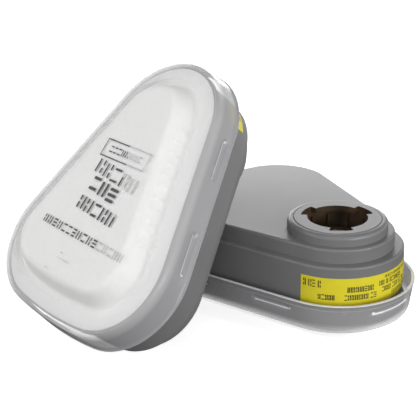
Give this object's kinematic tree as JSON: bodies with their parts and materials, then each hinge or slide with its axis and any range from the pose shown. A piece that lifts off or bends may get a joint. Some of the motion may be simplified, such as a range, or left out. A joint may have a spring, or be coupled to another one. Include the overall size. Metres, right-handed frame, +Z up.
{
  "type": "respirator cartridge pair",
  "caption": "Pair of combination respirator cartridges with bayonet sockets, wrap labels, prefilter pads and push-fit retainer caps; one lies flat, the other leans on it.",
  "frame": {"origin": "on the lying cartridge's bayonet axis, in the plane that its retainer's front plate rests on", "axes": "+Z up along the lying cartridge's bayonet axis, +X from its wide end towards its narrow end"},
  "size_m": [0.1285, 0.1516, 0.0993],
  "materials": {
    "housing_plastic": "satin moulded ABS",
    "cup_plastic": "dark moulded nylon",
    "scrim_felt": "needled felt",
    "carbon": "packed granules",
    "grid_plastic": "satin moulded ABS",
    "label_film": "printed vinyl film",
    "pad_felt": "needled felt with a light print",
    "retainer_plastic": "translucent polypropylene"
  },
  "bodies": {
    "lying_cartridge": {"lying_housing": "housing_plastic", "lying_bayonet_ring": "housing_plastic", "lying_outlet_cup": "cup_plastic", "lying_outlet_scrim": "scrim_felt", "lying_carbon_bed": "carbon", "lying_inlet_scrim": "scrim_felt", "lying_inlet_grid": "grid_plastic", "lying_wrap_label": "label_film"},
    "lying_retainer": {"lying_prefilter_pad": "pad_felt", "lying_retainer_cap": "retainer_plastic"},
    "leaning_cartridge": {"leaning_housing": "housing_plastic", "leaning_bayonet_ring": "housing_plastic", "leaning_outlet_cup": "cup_plastic", "leaning_outlet_scrim": "scrim_felt", "leaning_carbon_bed": "carbon", "leaning_inlet_scrim": "scrim_felt", "leaning_inlet_grid": "grid_plastic", "leaning_wrap_label": "label_film"},
    "leaning_retainer": {"leaning_prefilter_pad": "pad_felt", "leaning_retainer_cap": "retainer_plastic"}
  },
  "joints": [
    {"name": "leaning_lift", "type": "slide", "parent": "lying_cartridge", "child": "leaning_cartridge", "axis": [0, 0, 1], "range_m": [0, 0.12]},
    {"name": "lying_retainer_pull", "type": "slide", "parent": "lying_cartridge", "child": "lying_retainer", "axis": [0, 0, -1], "range_m": [0, 0.03]},
    {"name": "leaning_retainer_pull", "type": "slide", "parent": "leaning_cartridge", "child": "leaning_retainer", "axis": [0.0494, -0.7416, 0.669], "range_m": [0, 0.03]}
  ]
}
